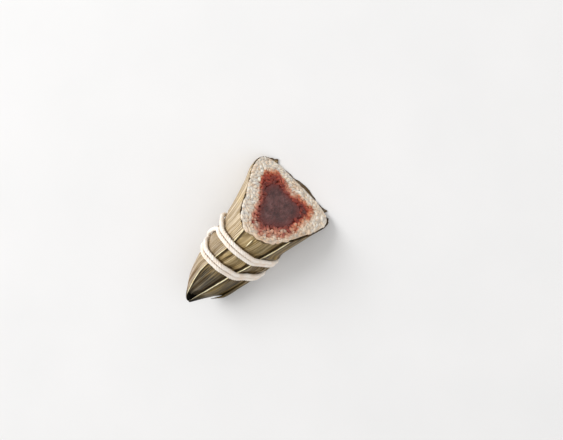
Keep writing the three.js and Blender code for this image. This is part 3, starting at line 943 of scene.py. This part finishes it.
CORE_BACK = 0.3  # how far behind the cut the rice's core lies, under the grains
CORE_IN = 0.1  # and inside the grains' rim
CORE_TONE = 0.3
CORE_SIDES = 160
CORE_RINGS = 34
LIP_RINGS = 9
LIP_START = 0.7  # how far before the leaf's end its rice begins to spread
FACE_RINGS = 25
FACE_OUT = np.array([0.8, 0, 0.6])  # out of the cut, near enough
FACE_LUMPS = [(0.2, 1.6, 8), (0.15, 0.8, 9)]
HOLLOW = 4  # how far the core's face gives way behind the paste


def on_cut(y, z, out=0.0):
    """A point of the cut's plane, or that far in front of it."""
    flat = vectors(CUT_BOTTOM - CUT_LEAN * z - ORIGIN_Q, y, z)
    return flat + CUT_NORMAL * np.asarray(out)[..., None]


def inside_by(outline, y, z):
    """How far points lie inside a closed outline, less than nothing outside."""
    y, z = np.atleast_1d(y)[:, None], np.atleast_1d(z)[:, None]
    y0, z0 = outline.T
    y1, z1 = np.roll(y0, -1), np.roll(z0, -1)
    dy, dz = y1 - y0, z1 - z0
    t = np.clip(((y - y0) * dy + (z - z0) * dz) / (dy**2 + dz**2), 0, 1)
    nearest = np.hypot(y - y0 - t * dy, z - z0 - t * dz).min(axis=1)
    crosses = ((z0 > z) != (z1 > z)) & (y < y0 + (z - z0) / np.where(dz == 0, 1, dz) * dy)
    return np.where(crosses.sum(axis=1) % 2 == 1, nearest, -nearest)


def towards(angle, middle, width):
    """1 at that angle of the cut face, falling to 0 on both sides. middle and width in degrees."""
    off = (np.degrees(angle) - middle + 180) % 360 - 180
    return np.exp(-((off / width) ** 2))


def paste_radius(angle):
    corners = 1 + PASTE_CORNERS * np.cos(3 * (angle - np.pi / 2))
    return reach_at(angle, (PASTE_R * corners, [PASTE_SHOULDER]))


def from_paste(y, z):
    """The angle of a place of the cut face round the paste, and how far outside the paste it is."""
    dy, dz = y - PASTE_Y, z - PASTE_Z
    angle = np.arctan2(dz, dy)
    return angle, np.hypot(dy, dz) - paste_radius(angle)


def reach_at(angle, reach):
    least, bulges = reach
    for by, middle, width in bulges:
        least = least + by * towards(angle, middle, width)
    return least


def stain_at(y, z):
    """How strongly the paste has stained the rice there, from 0 to 1."""
    angle, outside = from_paste(y, z)
    wide = reach_at(angle, BLUSH_REACH)
    soaked = 1 - smooth(outside, -1.5, reach_at(angle, SOAKED_REACH))
    blush = BLUSH * (1 - smooth(outside, wide - BLUSH_SOFT, wide))
    return 1 - (1 - soaked) * (1 - blush)


def rice_tints(points):
    """How orange the stain is, mostly at the lower corners, and how tan the white rice is."""
    y, z = points.T[1:]
    angle = from_paste(y, z)[0]
    corners = np.maximum(towards(angle, -30, 32), towards(angle, 215, 50))
    tan = lerp(0.3, 1, smooth(-y, -15, -1) * smooth(z, 6, 20))
    return {"warmth": 0.25 + 0.75 * corners, "tan": tan}


def grain_shape():
    """A grain of unit half-length along x and unit half-width, and its faces."""
    t = np.linspace(-1, 1, GRAIN_RINGS + 2)[1:-1, None]
    radius = (1 - np.abs(t) ** 2.6) ** 0.5
    around = angles_round(GRAIN_SIDES)
    rings = vectors(t, radius * np.cos(around), radius * np.sin(around))
    points = joined(rings, [(-1, 0, 0), (1, 0, 0)])
    return points, body_faces(GRAIN_RINGS, GRAIN_SIDES)


def spread_grains(rim, random):
    """Places for the grains over the rice's cut face, evenly spread inside its rim."""
    y, z = (random.uniform(*ends, GRAIN_TRIES) for ends in GRAIN_FIELD)
    clear = from_paste(y, z)[1] > -GRAIN_OVER_PASTE
    allowed = (inside_by(rim, y, z) > GRAIN_FROM_RIM) & clear
    kept = np.zeros((0, 3))
    for place in on_cut(y[allowed], z[allowed]):
        if not len(kept) or np.linalg.norm(kept - place, axis=1).min() > GRAIN_PITCH:
            kept = np.vstack([kept, place])
    return kept


def pressed_inside(rim, grain):
    """The grain with what would stand out past the rice's rim pressed back towards the middle."""
    y, z = grain.T[1:]
    out = np.maximum(-inside_by(rim, y, z), 0)
    inwards = (PASTE_Y, PASTE_Z) - grain[:, 1:].mean(axis=0)
    inwards /= np.linalg.norm(inwards)
    back = out[:, None] * inwards
    return grain + np.column_stack([-CUT_LEAN * back[:, 1], back])


def grain_at(place, shape, rim, random):
    """A grain at a place of the cut, most often lying along the rim, cut down by the knife."""
    y, z = place[1:]
    length = GRAIN_LENGTH * random.uniform(*LENGTH_SPREAD) / 2
    width = GRAIN_WIDTH * random.uniform(*WIDTH_SPREAD) / 2
    grain = shape * (length, width, width * random.uniform(*FLATNESS))
    grain[:, 1] += random.uniform(-GRAIN_BEND, GRAIN_BEND) * (grain[:, 0] / length) ** 2
    roll = random.uniform(0, np.pi)
    if random.random() < LYING_SHARE:
        tilt = random.uniform(-LYING_TILT, LYING_TILT)
    else:
        tilt = random.uniform(*STANDING_TILT)
    freedom = smooth(inside_by(rim, y, z)[0], *FREE_FROM)
    turn = from_paste(y, z)[0] + random.normal(0, lerp(*TURN_SPREAD, freedom))
    for axis, angle in (("X", roll), ("Y", tilt), ("Z", turn), ("Y", CUT_TILT)):
        grain = grain @ np.array(Matrix.Rotation(angle, 3, axis)).T
    sunk = np.hypot(length * np.sin(tilt), width * np.cos(tilt)) - random.uniform(0.0, GRAIN_PROUD)
    grain = grain + place - CUT_NORMAL * sunk
    above = np.maximum((grain - place) @ CUT_NORMAL, 0)
    crush = lerp(GRAIN_CRUSH, STAINED_CRUSH, stain_at(y, z))
    return pressed_inside(rim, grain - crush * above[:, None] * CUT_NORMAL)


def make_grains(material):
    random = np.random.default_rng(GRAIN_SEED)
    shape, shape_faces = grain_shape()
    angle = angles_round(RIM_SIDES)
    q = end_of_leaf(lambda q: angle, lip_depth, 0.0)
    rim = surface(q, angle, lip_depth(q, angle))[:, 1:]
    points, faces, tone, stain = [], [], [], []
    for place in spread_grains(rim, random):
        grain = grain_at(place, shape, rim, random)
        faces += [[index + len(points) * len(shape) for index in face] for face in shape_faces]
        points.append(grain)
        tone += [random.random()] * len(shape)
        stained = stain_at(*grain.T[1:])
        stained = stained + random.normal(0, GRAIN_STAIN_SPREAD) * stained * (1 - stained)
        stain += list(np.clip(stained, 0, GRAIN_STAIN_MOST))
    points = joined(*points)
    attributes = {"tone": np.array(tone), "stain": np.array(stain), **rice_tints(points)}
    add_piece("rice_grains", "rice", points, faces, material, attributes)


def make_rice_core(material):
    """The rice behind the grains: closed, with a lumpy face."""
    angle = angles_round(CORE_SIDES)
    leaf_end = end_of_leaf(lambda q: angle, rice_depth, -CORE_BACK)
    rim_q = end_of_leaf(lambda q: angle, lip_depth, -CORE_BACK)
    flare_q = np.minimum(leaf_end, rim_q) - LIP_START
    share = np.linspace(0, 1, LIP_RINGS)[:, None]
    straight = lerp(RICE_START, flare_q - 0.3, np.linspace(0, 1, CORE_RINGS)[:, None])
    q = np.concatenate([straight, lerp(flare_q, rim_q, share)])
    flared = np.concatenate([np.zeros((CORE_RINGS, 1)), smooth(share, 0, 0.6)])
    side = surface(q, angle, rice_depth(q, angle) + CORE_IN - lip(angle) * flared)
    hub = on_cut(PASTE_Y, PASTE_Z)
    hub[0] -= CORE_BACK + HOLLOW
    share = np.linspace(0, 1, FACE_RINGS + 2)[1:-1, None, None]
    face = side[-1] + (hub - side[-1]) * share
    rough = sum(height * lumps(face, size, seed) for height, size, seed in FACE_LUMPS)
    under_paste = smooth(-from_paste(face[..., 1], face[..., 2])[1], 0.2, 2.0)
    face = face + FACE_OUT * (rough - HOLLOW * under_paste)[..., None]
    points = joined(side, face, side[0].mean(axis=0), hub)
    faces = body_faces(len(q) + FACE_RINGS, CORE_SIDES)
    tone = np.full(len(points), CORE_TONE)
    attributes = {"tone": tone, "stain": stain_at(*points.T[1:]), **rice_tints(points)}
    add_piece("rice_core", "rice", points, faces, material, attributes)


# ---- Bean paste

PASTE_SIDES = 180
PASTE_RINGS = 40  # of its face
PASTE_UNEVEN = (0.5, 2.2)  # its edge at the cut: by how much, and the size of the lumps
PASTE_ROUGH = [(0.3, 2.6, 15), (0.22, 0.9, 16)]
PASTE_BACK = 0.55  # how far behind the cut its face lies
PASTE_ROUNDED = 0.9  # and how much further at its edge


def make_paste():
    """The core of paste, with an uneven edge and a grainy face just behind the cut."""
    angle = angles_round(PASTE_SIDES)
    cos, sin = np.cos(angle), np.sin(angle)
    stations = np.array([PASTE_START, 30, 38, 46, 56])[:, None]
    radius = paste_radius(angle) * lerp(PASTE_THIN, 1, smooth(stations, PASTE_START, PASTE_START + 30))
    lift = lerp(PASTE_LOW, 0, smooth(stations, PASTE_START, PASTE_START + 40))
    y, z = PASTE_Y + radius * cos, PASTE_Z + lift + radius * sin
    body = vectors(stations - ORIGIN_Q, y, z)
    by, size = PASTE_UNEVEN
    edge = paste_radius(angle) + by * lumps(vectors(20 * cos, 20 * sin, 0), size, 14)
    share = np.linspace(1, 0, PASTE_RINGS, endpoint=False)[:, None]
    y, z = PASTE_Y + edge * share * cos, PASTE_Z + edge * share * sin
    flat = vectors(y, z, 0)
    rough = sum(height * lumps(flat, size, seed) for height, size, seed in PASTE_ROUGH)
    face = on_cut(y, z, -PASTE_BACK - PASTE_ROUNDED * smooth(share, 0.9, 1.0) + rough)
    points = joined(body, face, body[0].mean(axis=0), on_cut(PASTE_Y, PASTE_Z, -PASTE_BACK))
    faces = body_faces(len(stations) + PASTE_RINGS, PASTE_SIDES)
    near_edge = np.broadcast_to(share, y.shape).ravel()
    near_edge = np.concatenate([np.ones(len(stations) * PASTE_SIDES), near_edge, [1, 0]])
    material, attributes = paste_material(), {"edge": near_edge}
    add_piece("paste_core", "bean_paste", points, faces, material, attributes)


# ---- String

ROWS = [middle + side * ROW_PITCH / 2 for middle in (UPPER_Q, LOWER_Q) for side in (1, -1)]
STEPS = [(0.91, 1.09), CROSSING, (2.91, 3.09)]  # in turns, where it moves on to the next row
STRING_STEPS = 1500
STRING_SPAN = 1.6  # radii to each side, over which it bridges a dip
STRING_TOUCH = 0.4  # the share of its clearance that it keeps
PLY_R = 0.76
PLIES = 3
PLY_SIDES = 8
LAY = 5.4  # of one twist, in millimetres


def row_at(turn):
    """The string's distance from the point, turn counting whole turns from underneath."""
    steps = [smooth(turn, *step) for step in STEPS]
    return ROWS[0] + sum(step * (ROWS[i + 1] - ROWS[i]) for i, step in enumerate(steps))


def layer_under(q, angle):
    """How far below the left leaf's level the string lies."""
    turned_to = np.degrees(angle) % 360

    def from_to(low, high):
        return smooth(turned_to, low, low + 12) * (1 - smooth(turned_to, high - 12, high))

    left_edge = np.degrees(left_edges(q)[1]) % 360
    flap = np.where(q < UPPER_Q - FURROW_EDGE, from_to(174, 246), 0)
    return right_leaf_depth(q) * from_to(left_edge, 246) * (1 - flap)


def make_string():
    """Three plies twisted round a path that lies on the leaves."""
    turn = np.linspace(STRING_START, STRING_END, STRING_STEPS)
    angle = np.radians(270 - 360 * turn)
    q = row_at(turn)
    reach = STRING_SPAN * STRING_R
    around = np.minimum(furrow(q - reach, angle), furrow(q + reach, angle))
    rise = np.maximum(furrow(q, angle) - around, 0)
    depth = layer_under(q, angle) - rise - STRING_R - STRING_GAP * STRING_TOUCH
    path = surface(q, angle, depth)
    out = unit(path - surface(q, angle, depth + 2))
    tangent = np.gradient(path, axis=0)
    steps = np.linalg.norm(tangent, axis=1)
    tangent /= steps[:, None]
    out = unit(out - tangent * (out * tangent).sum(axis=1, keepdims=True))
    side = np.cross(tangent, out)
    length = np.cumsum(steps)
    points, faces, on_ply = [], [], []
    for ply in range(PLIES):
        twist = 2 * np.pi * (length / LAY + ply / PLIES)
        off = np.cos(twist)[:, None] * out + np.sin(twist)[:, None] * side
        ply_points, ply_faces = tube(path + (STRING_R - PLY_R) * off, PLY_R, PLY_SIDES, out)
        faces += [[index + ply * len(ply_points) for index in face] for face in ply_faces]
        points.append(ply_points)
        around = np.tile(np.arange(PLY_SIDES) / PLY_SIDES, STRING_STEPS)
        on_ply.append(vectors(np.repeat(length, PLY_SIDES), around, ply))
    points, material, attributes = joined(*points), string_material(), {"ply": joined(*on_ply)}
    add_piece("cotton_string", "string", points, faces, material, attributes)


# ---- Ribs

RIB_SIDES = 8
RIB_Q = np.linspace(0.6, 84, 260)
RIB_STOP = 0.8  # before the cut
RIB_SUNK = 0.1
RIB_UNEVEN = (0.25, 2.5)  # by that share, in lumps of that size
RIB_TAPER = 8  # over this length from its start
SHORT_Q = np.linspace(51.3, 57.5, 60)
SHORT_Y = -1.9
SHORT_TAPER = 3


def make_rib(name, radius, q, angle, depth, material, taper=RIB_TAPER):
    """A leaf's raised midrib along the edge where the leaf is folded, thin at both ends."""
    path = surface(q, angle, depth + RIB_SUNK + wrinkles(q, angle))
    share, size = RIB_UNEVEN
    uneven = 1 + share * lumps(path, size, 81)
    thin = np.minimum(smooth(q, q[0] - 1, q[0] + taper), smooth(-q, -q[-1], 2 - q[-1]) + 0.1)
    points, faces = tube(path, radius * uneven * thin, RIB_SIDES)
    add_piece(name, None, points, faces, material)


def make_ribs(material):
    for name, radius, angle, depth in (
        ("right_rib", 0.35, right_edges(RIB_Q)[0], right_leaf_depth(RIB_Q)),
        ("left_rib", 0.27, left_edges(RIB_Q)[1], EDGE_DROP * smooth(RIB_Q, *EDGE_DROP_Q)),
    ):
        keep = past_cut(surface(RIB_Q, angle, 0)) < -RIB_STOP
        make_rib(name, radius, RIB_Q[keep], angle[keep], depth[keep], material)
    angle = angle_on_top(SHORT_Q, SHORT_Y, 2 * LAYER)
    make_rib("short_rib", 0.3, SHORT_Q, angle, 2 * LAYER, material, SHORT_TAPER)


# ---- Floor and light

FLOOR_HALF = 6  # metres
FLOOR_COLOURS = (colour(228, 228, 228), colour(236, 235, 235))

# Each lamp's place in metres, its size and its power in watts.
LAMPS = {
    "window": ((-0.35, 1.6, 1.35), 1.2, 30),
    "fill": ((0.6, -1.0, 1.8), 2.0, 5),
}
WORLD_COLOUR = (1, 0.995, 0.985, 1)
WORLD_STRENGTH = 0.66


def make_floor():
    mesh = bpy.data.meshes.new("floor")
    corners = [(x * FLOOR_HALF, y * FLOOR_HALF, 0) for x, y in ((-1, -1), (1, -1), (1, 1), (-1, 1))]
    mesh.from_pydata(corners, [], [(0, 1, 2, 3)])
    s = Shader("floor", Roughness=0.6)
    cloud = s.noise(s.millimetres(), 60, detail=3)
    mesh.materials.append(s.finish(s.mix(cloud, *FLOOR_COLOURS)))
    add_object("floor", mesh)


def make_lights():
    """Square lamps that face the dumpling, and a pale world."""
    for name, (place, size, watts) in LAMPS.items():
        data = bpy.data.lights.new(name, "AREA")
        data.size = size
        data.energy = watts
        lamp = add_object(name, data)
        lamp.location = place
        lamp.rotation_euler = (-Vector(place)).to_track_quat("-Z", "Y").to_euler()
    world = bpy.data.worlds.new("studio")
    world.use_nodes = True
    background = world.node_tree.nodes["Background"]
    background.inputs["Color"].default_value = WORLD_COLOUR
    background.inputs["Strength"].default_value = WORLD_STRENGTH
    bpy.context.scene.world = world
    bpy.context.scene.view_settings.view_transform = "Standard"


make_camera()
make_lights()
make_floor()
make_leaves()
make_ribs(rib_and_highlight_material())
rice = rice_material()
make_rice_core(rice)
make_grains(rice)
make_paste()
make_string()
